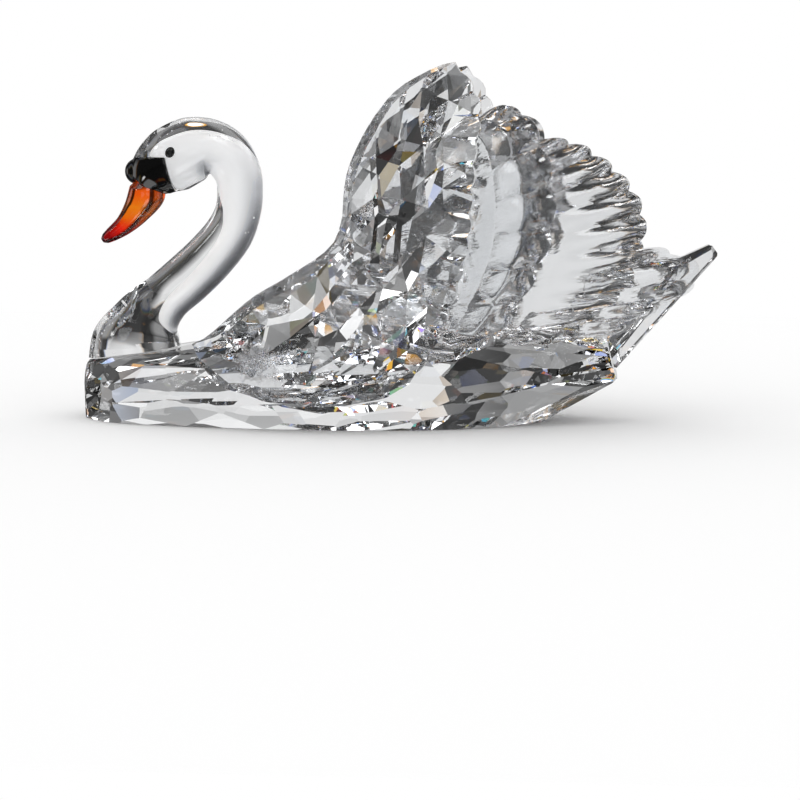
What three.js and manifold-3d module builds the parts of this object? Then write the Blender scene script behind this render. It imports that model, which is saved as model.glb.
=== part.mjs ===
// A cut crystal swan figurine, resting afloat with its wings raised.
// A faceted hull carries a tail, a lampworked glass neck with its mask, bill and eyes,
// and on each side a fan of four glued wing plates, from the broad coverts inwards.
// Millimetres, +Z up. The swan looks along -X, and Y = 0 is its plane of symmetry.
// The origin is on the ground, at the middle of the figurine's length.

import * as THREE from "three";
import { mergeVertices } from "three/addons/utils/BufferGeometryUtils.js";
import Module from "manifold-3d";

const wasm = await Module();
wasm.setup();

// Driving dimensions
const swanLength = 157.6; // chest to tail tip
const wingHeight = 87.8; // ground to the tip of the coverts
const hullHeight = 24; // ground to the ridge of the back
const hullHalfWidth = 30.5; // at the girdle
const neckHeight = 75.4; // ground to the crown of the head
const glueGap = 0.3; // between any two pieces
const plateThickness = 5.6; // each feathered wing plate, where it is glued
const domeThickness = 14; // the coverts, at the top of their dome
const scallopDepth = 1.7; // how far a feather tip stands out of a wing's edge
const fluteDepth = 1.1; // groove between two feathers
const leadEdgeThickness = 2.6; // the coverts, at their leading edge
const leadShoulderThickness = 7; // the coverts, where their steep edge bevel gives way to a soft one
const footEdgeThickness = 3.4; // the coverts, where they come down on the hull
const eyeRadius = 1.45;
const knobRadius = 3.3; // at the root of the bill
const tailTipWidth = 11.5;
const tailTipHeight = 3.5; // its flat end face, on the middle line
const tailRootWidth = 21;
const covertTips = 13; // small scallops along the coverts' trailing edge

// How finely the forms are cut
const pointsPerFeather = 4;
const leadPoints = 30; // along the coverts' leading edge
const footPoints = 14;
const skinSamples = 24; // along and up the hull's smooth skin
const neckRings = 34;
const neckSides = 16;
const billRings = 12;
const billSides = 14;
const ballSides = 16;

// Free forms are drawn in shares: of the length along X, and along Z of the height that is
// left above the place where the wings or the neck start on the hull
const wingStart = 0.19 * hullHeight;
const neckStart = 0.6 * hullHeight;
const along = (share) => share * swanLength;
const onWing = (share) => THREE.MathUtils.lerp(wingStart, wingHeight, share);
const onNeck = (share) => THREE.MathUtils.lerp(neckStart, neckHeight, share);
const inWing = ([x, z]) => new THREE.Vector2(along(x), onWing(z));

// Solids and geometries
function solidFrom(geometry) {
  const bare = geometry.clone();
  bare.deleteAttribute("normal");
  bare.deleteAttribute("uv");
  const merged = mergeVertices(bare, 1e-4);
  return new wasm.Manifold(
    new wasm.Mesh({
      numProp: 3,
      vertProperties: merged.attributes.position.array,
      triVerts: new Uint32Array(merged.index.array),
    }),
  );
}

function geometryFrom(solid) {
  const mesh = solid.getMesh();
  const geometry = new THREE.BufferGeometry();
  geometry.setAttribute("position", new THREE.BufferAttribute(mesh.vertProperties, 3));
  geometry.setIndex(new THREE.BufferAttribute(mesh.triVerts, 1));
  const flat = geometry.toNonIndexed();
  flat.computeVertexNormals();
  return flat;
}

// A closed geometry from points and from triangles that name them
function closedGeometry(points, triangles) {
  const geometry = new THREE.BufferGeometry().setFromPoints(points);
  geometry.setIndex(triangles.flat());
  return geometry;
}

// Keeps the side of each plane that its normal points away from
function trim(solid, planes, grow = 0) {
  return planes.reduce(
    (kept, { normal, distance }) =>
      kept.trimByPlane(normal.clone().negate().toArray(), -distance - grow),
    solid,
  );
}

const planeThrough = (point, normal) => {
  const unit = normal.clone().normalize();
  return { normal: unit, distance: unit.dot(point) };
};

// The plane with this normal that just touches the points from outside
const touching = (points, normal) => {
  const unit = normal.clone().normalize();
  return { normal: unit, distance: Math.max(...points.map((p) => p.dot(unit))) };
};

// Turns the triangles over where they would close the solid inside out
function outward(points, triangles) {
  const solid = solidFrom(closedGeometry(points, triangles));
  return solid.volume() > 0
    ? solid
    : solidFrom(closedGeometry(points, triangles.map(([a, b, c]) => [a, c, b])));
}

const bigBlock = () => {
  const reach = 4 * (swanLength + wingHeight + hullHalfWidth);
  return solidFrom(new THREE.BoxGeometry(reach, reach, reach));
};

// A flat-ended solid over rings of points that all have the same count
function loft(rings) {
  const sides = rings[0].length;
  const points = rings.flat();
  const triangles = [];
  for (let ring = 0; ring < rings.length - 1; ring++)
    for (let side = 0; side < sides; side++) {
      const a = ring * sides + side;
      const b = ring * sides + ((side + 1) % sides);
      triangles.push([a, b, b + sides], [a, b + sides, a + sides]);
    }
  [rings[0], rings.at(-1)].forEach((ring, end) => {
    const middle = ring.reduce((sum, p) => sum.add(p), new THREE.Vector3());
    const centre = points.push(middle.divideScalar(sides)) - 1;
    const first = end * (rings.length - 1) * sides;
    for (let side = 0; side < sides; side++) {
      const a = first + side;
      const b = first + ((side + 1) % sides);
      triangles.push(end ? [a, b, centre] : [b, a, centre]);
    }
  });
  return outward(points, triangles);
}

// Hull: half of four level lines of its smooth skin, from the chest to the stern,
// as [x share of length, width share, height share]
const hullLines = [
  [
    [-0.492, 0.24, 0],
    [-0.45, 0.52, 0],
    [-0.34, 0.73, 0],
    [-0.21, 0.88, 0],
    [-0.06, 0.92, 0],
    [0.07, 0.82, 0],
    [0.17, 0.55, 0],
    [0.228, 0.1, 0],
  ],
  [
    [-0.4985, 0.26, 0.32],
    [-0.455, 0.56, 0.3],
    [-0.36, 0.79, 0.3],
    [-0.22, 0.96, 0.3],
    [-0.05, 1, 0.3],
    [0.1, 0.9, 0.33],
    [0.24, 0.62, 0.43],
    [0.35, 0.34, 0.6],
  ],
  [
    [-0.4925, 0.22, 0.58],
    [-0.44, 0.42, 0.66],
    [-0.33, 0.57, 0.76],
    [-0.2, 0.72, 0.86],
    [-0.04, 0.78, 0.93],
    [0.11, 0.68, 0.94],
    [0.24, 0.42, 0.9],
    [0.335, 0.22, 0.84],
  ],
  [
    [-0.48, 0, 0.66],
    [-0.42, 0, 0.76],
    [-0.33, 0, 0.87],
    [-0.2, 0, 0.96],
    [-0.04, 0, 1],
    [0.11, 0, 1],
    [0.24, 0, 0.96],
    [0.325, 0, 0.91],
  ],
].map(
  (line) =>
    new THREE.CatmullRomCurve3(
      line.map(
        ([x, width, height]) =>
          new THREE.Vector3(along(x), -width * hullHalfWidth, height * hullHeight),
      ),
    ),
);

// A point of the skin: u runs from chest to stern, v from the base up to the ridge
const skinPoint = (u, v) =>
  new THREE.CatmullRomCurve3(hullLines.map((line) => line.getPoint(u))).getPoint(v);

function skinNormal(u, v) {
  const step = 0.01;
  const alongHull = skinPoint(u + step, v).sub(skinPoint(u - step, v));
  const upHull = skinPoint(u, v + step).sub(skinPoint(u, v - step));
  return alongHull.cross(upHull).normalize();
}

// Rows of facets from the base up: [v, how many on a side, where the first one starts]
const hullRows = [
  [0.16, 9, 0.5],
  [0.3, 11, 0.2],
  [0.42, 12, 0.7],
  [0.53, 11, 0.2],
  [0.63, 12, 0.7],
  [0.74, 9, 0.3],
  [0.9, 7, 0.6],
];

const neckSeat = planeThrough(
  new THREE.Vector3(along(-0.495), 0, neckStart),
  new THREE.Vector3(-0.19 * hullHeight, 0, 0.215 * swanLength),
);
const tailKeel = new THREE.Vector3(along(0.34), 0, 0.55 * hullHeight);
const tailSeat = planeThrough(tailKeel, new THREE.Vector3(0.96, 0, 0.28));

function hullPlanes() {
  const samples = Array.from({ length: skinSamples + 1 }, (_, i) => i / skinSamples);
  const skin = samples.flatMap((u) => samples.map((v) => skinPoint(u, v)));
  const mirrored = ({ normal, distance }) => ({
    normal: normal.clone().setY(-normal.y),
    distance,
  });
  const facets = hullRows.flatMap(([v, count, start]) =>
    Array.from({ length: count }, (_, i) =>
      touching(skin, skinNormal((i + start) / count, v)),
    ),
  );
  const ends = [
    [-1, 0, 0.04],
    [0.5, 0, -0.866],
    [0, 0, -1],
  ].map((normal) => touching(skin, new THREE.Vector3(...normal)));
  return [...facets, ...facets.map(mirrored), ...ends, neckSeat, tailSeat];
}

const hullFacets = hullPlanes();
const makeHull = (grow) => trim(bigBlock(), hullFacets, grow);
const hullCutter = makeHull(glueGap);

// Tail: a bar that rises from its seat on the hull, cut off square at its tip
function tailPlanes() {
  const rootHigh = new THREE.Vector3(along(0.325), 0, 0.905 * hullHeight);
  const rise = new THREE.Vector3(0.668, 0, 0.744);
  const run = along(0.5) - tailKeel.x;
  const tip = tailKeel.clone().addScaledVector(rise, run / rise.x);
  const flare = (tailRootWidth - tailTipWidth) / 2 / run;
  const sides = [-1, 1].flatMap((side) => {
    const wall = tailKeel.clone().setY((side * tailRootWidth) / 2);
    const shoulder = new THREE.Vector3(rootHigh.x, side * 0.24 * tailRootWidth, rootHigh.z);
    return [
      planeThrough(wall, new THREE.Vector3(flare, side, 0.08)),
      planeThrough(shoulder, new THREE.Vector3(-0.62, side * 0.75, 0.66)),
      planeThrough(wall, new THREE.Vector3(0.69, side * 0.75, -0.59)),
    ];
  });
  return [
    { normal: tailSeat.normal.clone().negate(), distance: -tailSeat.distance },
    planeThrough(tailKeel, new THREE.Vector3(rise.z, 0, -rise.x)),
    planeThrough(tip, new THREE.Vector3(0.817, 0, 0.577)),
    planeThrough(rootHigh, new THREE.Vector3(-0.77, 0, 0.64)),
    planeThrough(
      tip.clone().setZ(tip.z + tailTipHeight),
      new THREE.Vector3(-0.42, 0, 0.91),
    ),
    ...sides,
  ];
}

const makeTail = (grow) => {
  const [seat, ...rest] = tailPlanes();
  return trim(trim(bigBlock(), rest, grow), [seat], -glueGap);
};
const tailCutter = makeTail(glueGap);

// Wing plates: the flat glue faces between them, each as the y of a plane over x and z.
// The outermost stands at a share of the hull's width, and each next one a plate further in.
const gluePlane = (y, xAt, perX, zAt, perZ) => (x, z) =>
  y + perX * (x - along(xAt)) + perZ * (z - onWing(zAt));
const outerGlueY = -0.77 * hullHalfWidth;
const covertsBack = gluePlane(outerGlueY, 0, -0.08, 0.43, 0.12);
const secondariesBack = gluePlane(outerGlueY + plateThickness, 0.06, 0, 0.37, 0.125);
const primariesBack = gluePlane(outerGlueY + 2.1 * plateThickness, 0.16, 0.07, 0.37, 0.125);
const tertialsBack = gluePlane(outerGlueY + 2.9 * plateThickness, 0.38, 0.1, 0.37, 0.12);

// The flat back of a plate, half a glue gap in front of its glue face
function backPlane(face) {
  const [origin, alongX, alongZ] = [
    [0, 0],
    [1, 0],
    [0, 1],
  ].map(([x, z]) => new THREE.Vector3(x, face(x, z) - glueGap / 2, z));
  const normal = new THREE.Vector3().crossVectors(alongZ.sub(origin), alongX.sub(origin));
  return planeThrough(origin, normal);
}

// How round the tip of a feather is at a place along the edge: 0 between feathers, 1 in the middle
const tipArc = (u, feathers) => {
  const within = (u * feathers) % 1;
  return 1 - (2 * within - 1) ** 2;
};

// Closes a front skin, given as rows of points, with the same skin moved back along +Y
function thicken(grid, depth) {
  const width = grid[0].length;
  const front = grid.flat();
  const count = front.length;
  const points = [...front, ...front.map((p) => p.clone().setY(p.y + depth))];
  const triangles = [];
  for (let row = 0; row < grid.length - 1; row++)
    for (let column = 0; column < width - 1; column++) {
      const a = row * width + column;
      const [b, c, d] = [a + 1, a + width + 1, a + width];
      triangles.push([a, b, c], [a, c, d]);
      triangles.push([a + count, c + count, b + count], [a + count, d + count, c + count]);
    }
  const lastRow = count - width;
  const rim = [
    ...Array.from({ length: width - 1 }, (_, i) => i),
    ...Array.from({ length: grid.length - 1 }, (_, i) => (i + 1) * width - 1),
    ...Array.from({ length: width - 1 }, (_, i) => count - 1 - i),
    ...Array.from({ length: grid.length - 1 }, (_, i) => lastRow - i * width),
  ];
  rim.forEach((a, i) => {
    const b = rim[(i + 1) % rim.length];
    triangles.push([b, a, a + count], [b, a + count, b + count]);
  });
  return outward(points, triangles);
}

// A plate of feathers between a root line and an edge line, both seen from the side.
// Its back lies on a glue face, and its front leaves the glue face of the plate that covers it.
function featherPlate({ root, edge, feathers, front, back, fall, covered }) {
  const rootLine = new THREE.SplineCurve(root.map(inWing));
  const edgeLine = new THREE.SplineCurve(edge.map(inWing));
  const columns = feathers * pointsPerFeather;
  const steps = [0, covered, (covered + 1) / 2, 0.9, 1];
  const grid = steps.map((v) =>
    Array.from({ length: columns + 1 }, (_, column) => {
      const u = column / columns;
      const from = rootLine.getPointAt(u);
      const to = edgeLine.getPointAt(u);
      const feather = to.clone().sub(from).normalize();
      const ripe = THREE.MathUtils.smoothstep(v, covered, 1);
      const arc = tipArc(u, feathers);
      const at = from.lerp(to, v).addScaledVector(feather, v === 1 ? arc * scallopDepth : 0);
      const slope = Math.max(0, (v - covered) / (1 - covered));
      const face = front(at.x, at.y);
      const thinning = fall * slope * (back(at.x, at.y) - face);
      const groove = fluteDepth * ripe * (1 - arc);
      return new THREE.Vector3(at.x, face + glueGap / 2 + thinning + groove, at.y);
    }),
  );
  return trim(thicken(grid, swanLength), [backPlane(back)]);
}

const largestPiece = (solid) =>
  solid.decompose().sort((a, b) => b.volume() - a.volume())[0];

const seated = (solid) => largestPiece(solid.subtract(hullCutter).subtract(tailCutter));

const makeSecondaries = () =>
  featherPlate({
    root: [
      [0.06, 0.747],
      [0.03, 0.557],
      [0.01, 0.346],
      [-0.03, 0.135],
      [-0.06, -0.002],
    ],
    edge: [
      [0.13, 0.847],
      [0.165, 0.865],
      [0.206, 0.821],
      [0.235, 0.684],
      [0.24, 0.546],
      [0.222, 0.42],
      [0.176, 0.262],
      [0.11, 0.103],
      [0.016, 0.009],
    ],
    feathers: 10,
    front: covertsBack,
    back: secondariesBack,
    fall: 0.4,
    covered: 0.62,
  });

const makePrimaries = () =>
  featherPlate({
    root: [
      [0.15, 0.684],
      [0.12, 0.473],
      [0.1, 0.293],
      [0.06, 0.125],
      [0.02, -0.002],
    ],
    edge: [
      [0.225, 0.778],
      [0.28, 0.752],
      [0.338, 0.673],
      [0.372, 0.578],
      [0.376, 0.473],
      [0.35, 0.346],
      [0.285, 0.235],
      [0.21, 0.119],
      [0.12, 0.024],
    ],
    feathers: 15,
    front: secondariesBack,
    back: primariesBack,
    fall: 0.45,
    covered: 0.5,
  });

const makeTertials = () =>
  featherPlate({
    root: [
      [0.31, 0.409],
      [0.28, 0.325],
      [0.25, 0.241],
      [0.22, 0.156],
    ],
    edge: [
      [0.375, 0.452],
      [0.415, 0.446],
      [0.455, 0.399],
      [0.455, 0.351],
      [0.41, 0.288],
      [0.35, 0.219],
      [0.29, 0.156],
    ],
    feathers: 6,
    front: primariesBack,
    back: tertialsBack,
    fall: 0.4,
    covered: 0.3,
  });

// Coverts: a thick plate with a domed outer face of cut facets and a bevelled leading edge
const covertsLead = [
  [-0.304, 0.188],
  [-0.279, 0.212],
  [-0.214, 0.319],
  [-0.163, 0.377],
  [-0.095, 0.462],
  [-0.074, 0.536],
  [-0.07, 0.636],
  [-0.062, 0.707],
  [-0.033, 0.82],
  [0.005, 0.914],
  [0.042, 0.96],
  [0.08, 0.994],
  [0.098, 1],
];
const covertsTrail = [
  [0.107, 0.97],
  [0.126, 0.914],
  [0.134, 0.852],
  [0.128, 0.75],
  [0.123, 0.595],
  [0.115, 0.439],
  [0.08, 0.241],
  [0.045, 0.119],
];
const covertsFoot = [
  [0.045, 0.119],
  [0.02, 0.059],
  [-0.056, 0.017],
  [-0.117, -0.002],
  [-0.194, 0.015],
  [-0.234, 0.034],
  [-0.272, 0.087],
  [-0.292, 0.146],
];
// The dome of the coverts, as the y of its skin over x and z. It is highest at its centre,
// falls along the plate's length to its tip and foot, and across it to its edges.
const domeCentre = new THREE.Vector2(along(-0.06), onWing(0.34));
const domeAxis = new THREE.Vector2(0.4, 0.92).normalize();
const domeReach = { up: 0.76 * wingHeight, down: 0.66 * wingHeight, across: 0.235 * swanLength };

function domeAt(x, z) {
  const from = new THREE.Vector2(x, z).sub(domeCentre);
  const length = from.dot(domeAxis);
  const across = from.cross(domeAxis) / domeReach.across;
  const up = length / (length > 0 ? domeReach.up : domeReach.down);
  return covertsBack(x, z) - glueGap / 2 - domeThickness * (1 - up ** 2 - across ** 2);
}

// The plane that touches the dome over a point seen from the side
function domeFacet([xShare, zShare]) {
  const step = 0.1;
  const [x, z] = [along(xShare), onWing(zShare)];
  const perX = (domeAt(x + step, z) - domeAt(x - step, z)) / (2 * step);
  const perZ = (domeAt(x, z + step) - domeAt(x, z - step)) / (2 * step);
  return planeThrough(
    new THREE.Vector3(x, domeAt(x, z), z),
    new THREE.Vector3(perX, -1, perZ),
  );
}

// The middles of the dome's cut facets, row by row from the foot to the tip
const domeFacets = [
  [[-0.16, 0.02], [-0.08, 0.0], [0, 0.03]],
  [[-0.25, 0.14], [-0.17, 0.12], [-0.1, 0.11], [-0.035, 0.12], [0.03, 0.14]],
  [[-0.22, 0.24], [-0.14, 0.23], [-0.065, 0.22], [0, 0.24], [0.065, 0.26]],
  [[-0.13, 0.35], [-0.05, 0.35], [0.03, 0.37], [0.09, 0.38]],
  [[-0.075, 0.47], [0, 0.48], [0.07, 0.51], [0.125, 0.5]],
  [[-0.06, 0.62], [0.03, 0.65], [0.11, 0.64]],
  [[-0.02, 0.79], [0.06, 0.84], [0.12, 0.79]],
]
  .flat()
  .map(domeFacet);

// What an edge bevel takes off: all that stands out past a slope, which starts at the edge
// with a given thickness and rises inwards until it clears the dome
function bevelAlong(edge, { facets, thickness, slope }) {
  const reach = (domeThickness - thickness) / slope;
  const past = -2 * scallopDepth;
  const rings = Array.from({ length: facets + 1 }, (_, i) => {
    const at = edge.getPointAt(i / facets);
    const tangent = edge.getTangentAt(i / facets);
    const inward = new THREE.Vector2(tangent.y, -tangent.x);
    return [
      [past, 0],
      [past, 2 * hullHalfWidth],
      [reach, 2 * hullHalfWidth],
      [reach, 0],
    ].map(([across, beyond]) => {
      const side = at.clone().addScaledVector(inward, across);
      const skin = covertsBack(side.x, side.y) - thickness - slope * across;
      return new THREE.Vector3(side.x, skin - beyond, side.y);
    });
  });
  return loft(rings);
}

function makeCoverts() {
  const lead = new THREE.SplineCurve(covertsLead.map(inWing));
  const trail = new THREE.SplineCurve(covertsTrail.map(inWing));
  const foot = new THREE.SplineCurve(covertsFoot.map(inWing));
  const points = covertTips * pointsPerFeather;
  const scallops = Array.from({ length: points + 1 }, (_, i) => {
    const u = i / points;
    const tangent = trail.getTangentAt(u);
    const outwards = new THREE.Vector2(-tangent.y, tangent.x);
    const depth = 0.55 * scallopDepth * tipArc(u, covertTips);
    return trail.getPointAt(u).addScaledVector(outwards, depth);
  });
  const outline = [
    ...lead.getSpacedPoints(leadPoints),
    ...scallops,
    ...foot.getSpacedPoints(footPoints).slice(1),
  ];
  const slab = new THREE.ExtrudeGeometry(new THREE.Shape(outline), {
    depth: 2 * hullHalfWidth,
    bevelEnabled: false,
  });
  slab.rotateX(Math.PI / 2);
  return trim(solidFrom(slab), [...domeFacets, backPlane(covertsBack)])
    .subtract(bevelAlong(lead, { facets: 16, thickness: leadEdgeThickness, slope: 2.2 }))
    .subtract(bevelAlong(lead, { facets: 11, thickness: leadShoulderThickness, slope: 0.6 }))
    .subtract(bevelAlong(foot, { facets: 6, thickness: footEdgeThickness, slope: 1.3 }));
}

// Neck and head: stations along one line, as [x, z, radius in the plane of symmetry, radius
// across it], where the radii are shares of the swan's length
const neckStations = [
  [-0.419, -0.14, 0.079, 0.064],
  [-0.419, 0, 0.079, 0.064],
  [-0.417, 0.067, 0.0755, 0.062],
  [-0.407, 0.139, 0.0605, 0.053],
  [-0.396, 0.19, 0.05, 0.046],
  [-0.372, 0.256, 0.041, 0.041],
  [-0.335, 0.338, 0.041, 0.041],
  [-0.3, 0.425, 0.04, 0.04],
  [-0.27, 0.521, 0.0385, 0.0385],
  [-0.256, 0.607, 0.0362, 0.0362],
  [-0.2525, 0.68, 0.036, 0.036],
  [-0.256, 0.765, 0.037, 0.037],
  [-0.276, 0.842, 0.0405, 0.0395],
  [-0.302, 0.868, 0.0455, 0.042],
  [-0.33, 0.857, 0.0525, 0.0455],
  [-0.358, 0.822, 0.0535, 0.046],
  [-0.379, 0.786, 0.048, 0.042],
  [-0.394, 0.749, 0.04, 0.036],
  [-0.405, 0.714, 0.0285, 0.027],
];
const billStations = [
  [-0.392, 0.765, 0.011, 0.013],
  [-0.397, 0.73, 0.021, 0.021],
  [-0.402, 0.681, 0.0295, 0.029],
  [-0.419, 0.608, 0.0225, 0.0235],
  [-0.438, 0.552, 0.0162, 0.019],
  [-0.46, 0.51, 0.0115, 0.0155],
  [-0.4695, 0.494, 0.0085, 0.012],
  [-0.474, 0.487, 0.0045, 0.007],
];

// Rings square to the line through the stations, each swollen by a margin
function tubeRings(stations, steps, sides, margin = 0) {
  const through = (points) => new THREE.CatmullRomCurve3(points, false, "centripetal");
  const line = through(stations.map(([x, z]) => new THREE.Vector3(along(x), 0, onNeck(z))));
  const radii = through(
    stations.map(([, , tall, wide]) => new THREE.Vector3(along(tall), along(wide), 0)),
  );
  return Array.from({ length: steps + 1 }, (_, i) => {
    const t = i / steps;
    const tangent = line.getTangent(t);
    const radius = radii.getPoint(t).addScalar(margin);
    const inPlane = new THREE.Vector3(tangent.z, 0, -tangent.x);
    return Array.from({ length: sides }, (_, side) => {
      const angle = (2 * Math.PI * side) / sides;
      return line
        .getPoint(t)
        .addScaledVector(inPlane, Math.cos(angle) * radius.x)
        .setY(Math.sin(angle) * radius.y);
    });
  });
}

const ball = (x, y, z, radius) =>
  solidFrom(new THREE.SphereGeometry(radius, ballSides, ballSides / 2).translate(x, y, z));

const headAndNeck = loft(tubeRings(neckStations, neckRings, neckSides));
const makeBill = (margin) => loft(tubeRings(billStations, billRings, billSides, margin));

// The corner of space that the black mask fills, below a level plane and ahead of a steep one,
// and how far it keeps back from both
function maskCorner(clearance) {
  const reach = along(0.12);
  const top = new THREE.Vector3(along(-0.372), 0, onNeck(0.826));
  const corner = new THREE.BoxGeometry(reach, reach, reach);
  corner.translate(top.x - reach / 3, 0, top.z - reach / 2 - clearance);
  const rear = planeThrough(top, new THREE.Vector3(0.983, 0, 0.186));
  return trim(solidFrom(corner), [rear], -clearance);
}

const eyePlace = new THREE.Vector3(along(-0.362), along(0.0425), onNeck(0.848));

function makeNeck() {
  const seat = { normal: neckSeat.normal.clone().negate(), distance: -neckSeat.distance };
  const sockets = [-1, 1].map((side) =>
    ball(eyePlace.x, side * eyePlace.y, eyePlace.z, eyeRadius + glueGap),
  );
  return [maskCorner(0), makeBill(glueGap), ...sockets].reduce(
    (neck, cutter) => neck.subtract(cutter),
    trim(headAndNeck, [seat], -glueGap),
  );
}

function makeMask() {
  const knob = ball(along(-0.416), 0, onNeck(0.77), knobRadius);
  return largestPiece(
    headAndNeck.add(knob).intersect(maskCorner(glueGap)).subtract(makeBill(glueGap)),
  );
}

// Materials
const crystal = new THREE.MeshStandardMaterial({
  color: 0xeef3f6,
  roughness: 0.02,
  metalness: 0,
  transparent: true,
  opacity: 0.35,
});
const casedGlass = new THREE.MeshStandardMaterial({ color: 0xe9ebec, roughness: 0.04 });
const blackGlass = new THREE.MeshStandardMaterial({ color: 0x070707, roughness: 0.06 });
const orangeGlass = new THREE.MeshStandardMaterial({ color: 0xe0480c, roughness: 0.06 });

// Assembly
const swan = new THREE.Group();

function addPiece(parent, name, solid, material) {
  const mesh = new THREE.Mesh(geometryFrom(solid), material);
  mesh.name = name;
  parent.add(mesh);
  return mesh;
}

addPiece(swan, "hull", makeHull(0), crystal);
addPiece(swan, "tail", makeTail(0), crystal);
addPiece(swan, "neck", makeNeck(), casedGlass);
addPiece(swan, "mask", makeMask(), blackGlass);
addPiece(swan, "bill", makeBill(0), orangeGlass);

const wingPieces = {
  coverts: seated(makeCoverts()),
  secondaries: seated(makeSecondaries()),
  primaries: seated(makePrimaries()),
  tertials: seated(makeTertials()),
};
for (const [side, mirror] of [
  ["left", 1],
  ["right", -1],
]) {
  const wing = new THREE.Group();
  wing.scale.y = mirror;
  for (const [name, solid] of Object.entries(wingPieces))
    addPiece(wing, `${side}_${name}`, solid, crystal);
  const eye = addPiece(wing, `${side}_eye`, ball(0, 0, 0, eyeRadius), blackGlass);
  eye.position.set(eyePlace.x, -eyePlace.y, eyePlace.z);
  swan.add(wing);
}

export default swan;
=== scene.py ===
# A cut crystal swan on a pale floor: the looks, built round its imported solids.
# Metres, +Z up. The swan looks along -X, and its left wing is on the -Y side, near the camera.
import math

import bmesh
import bpy
import numpy as np
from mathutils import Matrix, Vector
from mathutils.bvhtree import BVHTree


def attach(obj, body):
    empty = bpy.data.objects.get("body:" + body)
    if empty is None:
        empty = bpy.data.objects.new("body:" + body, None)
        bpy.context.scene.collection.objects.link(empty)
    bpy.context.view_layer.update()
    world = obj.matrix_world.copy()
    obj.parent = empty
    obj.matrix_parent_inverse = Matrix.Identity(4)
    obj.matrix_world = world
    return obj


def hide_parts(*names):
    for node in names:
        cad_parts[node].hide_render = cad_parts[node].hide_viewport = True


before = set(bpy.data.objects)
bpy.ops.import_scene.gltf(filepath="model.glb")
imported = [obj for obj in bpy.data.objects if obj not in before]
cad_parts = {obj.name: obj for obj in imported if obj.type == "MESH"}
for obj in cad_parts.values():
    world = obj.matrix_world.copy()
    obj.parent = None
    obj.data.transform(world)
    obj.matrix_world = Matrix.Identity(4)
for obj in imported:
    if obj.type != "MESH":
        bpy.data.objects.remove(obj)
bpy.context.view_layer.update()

scene = bpy.context.scene
mm = 0.001

# Driving sizes in millimetres, the same as the solids have
swan = {
    "length": 157.6,
    "wingHeight": 87.8,
    "hullHeight": 24.0,
    "hullHalfWidth": 30.5,
    "neckHeight": 75.4,
    "plateThickness": 5.6,
    "fit": 0.3,
}
wingStart = 0.19 * swan["hullHeight"]
neckStart = 0.6 * swan["hullHeight"]


def along(share):
    return share * swan["length"] * mm


def onWing(share):
    return (wingStart + share * (swan["wingHeight"] - wingStart)) * mm


def onNeck(share):
    return (neckStart + share * (swan["neckHeight"] - neckStart)) * mm


# Camera
photo = {
    "azimuth": 5.5,
    "elevation": 6.0,
    "distance": 650.0,  # mm
    "target": (0.25, 0.0, 4.5),  # mm
    "lens": 117.0,
    "sensor": 36.0,
}


def makeCamera():
    turn, tilt = math.radians(photo["azimuth"]), math.radians(photo["elevation"])
    back = Vector((math.sin(turn) * math.cos(tilt), -math.cos(turn) * math.cos(tilt), math.sin(tilt)))
    data = bpy.data.cameras.new("camera")
    data.lens, data.sensor_width = photo["lens"], photo["sensor"]
    data.clip_start, data.clip_end = 0.01, 50
    camera = bpy.data.objects.new("camera", data)
    scene.collection.objects.link(camera)
    camera.location = Vector(photo["target"]) * mm + back * photo["distance"] * mm
    camera.rotation_euler = (-back).to_track_quat("-Z", "Y").to_euler()
    scene.camera = camera


makeCamera()
print("camera ready")


# Curves through points, and points spread evenly along them
def throughPoints(points, t, centripetal=True):
    points = np.asarray(points, float)
    last = len(points) - 1
    before, after = points[0], points[-1]
    if centripetal:
        before, after = 2 * points[0] - points[1], 2 * points[-1] - points[-2]
    p = np.vstack([before, points, after])
    place = np.clip(np.asarray(t, float), 0, 1) * last
    i = np.minimum(place.astype(int), last - 1)
    u = (place - i)[:, None]
    p0, p1, p2, p3 = p[i], p[i + 1], p[i + 2], p[i + 3]
    d0 = d1 = d2 = np.ones_like(u)
    if centripetal:
        d0, d1, d2 = (
            np.sqrt(np.linalg.norm(b - a, axis=1, keepdims=True)) for a, b in ((p0, p1), (p1, p2), (p2, p3))
        )
        d1 = np.where(d1 < 1e-6, 1.0, d1)
        d0 = np.where(d0 < 1e-6, d1, d0)
        d2 = np.where(d2 < 1e-6, d1, d2)
    start = d1 * ((p1 - p0) / d0 - (p2 - p0) / (d0 + d1) + (p2 - p1) / d1)
    end = d1 * ((p2 - p1) / d1 - (p3 - p1) / (d1 + d2) + (p3 - p2) / d2)
    return (
        (2 * u**3 - 3 * u**2 + 1) * p1
        + (u**3 - 2 * u**2 + u) * start
        + (3 * u**2 - 2 * u**3) * p2
        + (u**3 - u**2) * end
    )


def evenPoints(points, shares, fineness=400):
    fine = throughPoints(points, np.linspace(0, 1, fineness + 1), centripetal=False)
    run = np.concatenate([[0], np.cumsum(np.linalg.norm(np.diff(fine, axis=0), axis=1))])
    at = np.asarray(shares) * run[-1]
    return np.stack([np.interp(at, run, fine[:, axis]) for axis in range(fine.shape[1])], axis=1)


def smoothRise(x, low, high):
    t = np.clip((np.asarray(x, float) - low) / (high - low), 0, 1)
    return t * t * (3 - 2 * t)


# Meshes
def meshPiece(name, points, faces, smoothAngle=None):
    mesh = bpy.data.meshes.new(name)
    mesh.from_pydata([tuple(map(float, p)) for p in points], [], [tuple(map(int, f)) for f in faces])
    piece = bpy.data.objects.new(name, mesh)
    scene.collection.objects.link(piece)
    tidyNormals(piece)
    shade(piece, smoothAngle)
    return piece


def pieceFrom(work, name):
    mesh = bpy.data.meshes.new(name)
    work.to_mesh(mesh)
    work.free()
    piece = bpy.data.objects.new(name, mesh)
    scene.collection.objects.link(piece)
    return piece


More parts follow.
